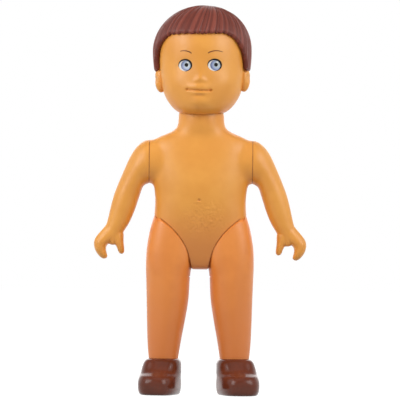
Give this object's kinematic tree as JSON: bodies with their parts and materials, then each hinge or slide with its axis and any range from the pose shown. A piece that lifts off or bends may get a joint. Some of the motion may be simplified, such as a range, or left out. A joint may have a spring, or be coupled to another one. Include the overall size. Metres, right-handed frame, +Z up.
{
  "type": "jointed play doll",
  "caption": "Standing hard plastic play doll with moulded hair and shoes; the head turns, the arms with gripping hands swing at the shoulders and the legs swing at domed hips.",
  "frame": {"origin": "under the middle of the doll, on the surface that it stands on", "axes": "+Z up; the doll faces -Y and its own left side is +X"},
  "size_m": [0.1092, 0.0508, 0.1996],
  "materials": {
    "body_plastic": "semi-matt moulded tan",
    "leg_plastic": "semi-matt moulded, redder than the body",
    "hair_plastic": "satin moulded brown",
    "shoe_plastic": "glossy moulded brown",
    "hub_plastic": "natural moulded plastic"
  },
  "bodies": {
    "torso": {"torso_front": "body_plastic", "torso_back": "body_plastic", "neck_peg": "hub_plastic"},
    "head": {"head_shell": "body_plastic", "hair_cap": "hair_plastic", "neck_socket": "hub_plastic"},
    "left_arm": {"arm_left": "body_plastic", "shoulder_hub_left": "hub_plastic"},
    "right_arm": {"arm_right": "body_plastic", "shoulder_hub_right": "hub_plastic"},
    "left_leg": {"leg_left": "leg_plastic", "hip_hub_left": "hub_plastic", "shoe_left": "shoe_plastic", "sole_left": "shoe_plastic"},
    "right_leg": {"leg_right": "leg_plastic", "hip_hub_right": "hub_plastic", "shoe_right": "shoe_plastic", "sole_right": "shoe_plastic"}
  },
  "joints": [
    {"name": "neck", "type": "hinge", "parent": "torso", "child": "head", "pos_m": [0, -0.00052, 0.146], "axis": [0, 0, 1], "continuous": true},
    {"name": "left_shoulder", "type": "hinge", "parent": "torso", "child": "left_arm", "pos_m": [0.0264, -0.00052, 0.1199], "axis": [-1, 0, 0], "continuous": true},
    {"name": "right_shoulder", "type": "hinge", "parent": "torso", "child": "right_arm", "pos_m": [-0.0264, -0.00052, 0.1199], "axis": [-1, 0, 0], "continuous": true},
    {"name": "left_hip", "type": "hinge", "parent": "torso", "child": "left_leg", "pos_m": [0.0295, -0.00052, 0.067], "axis": [-0.866, 0, 0.5], "range_deg": [-30, 95]},
    {"name": "right_hip", "type": "hinge", "parent": "torso", "child": "right_leg", "pos_m": [-0.0295, -0.00052, 0.067], "axis": [-0.866, 0, -0.5], "range_deg": [-30, 95]}
  ]
}
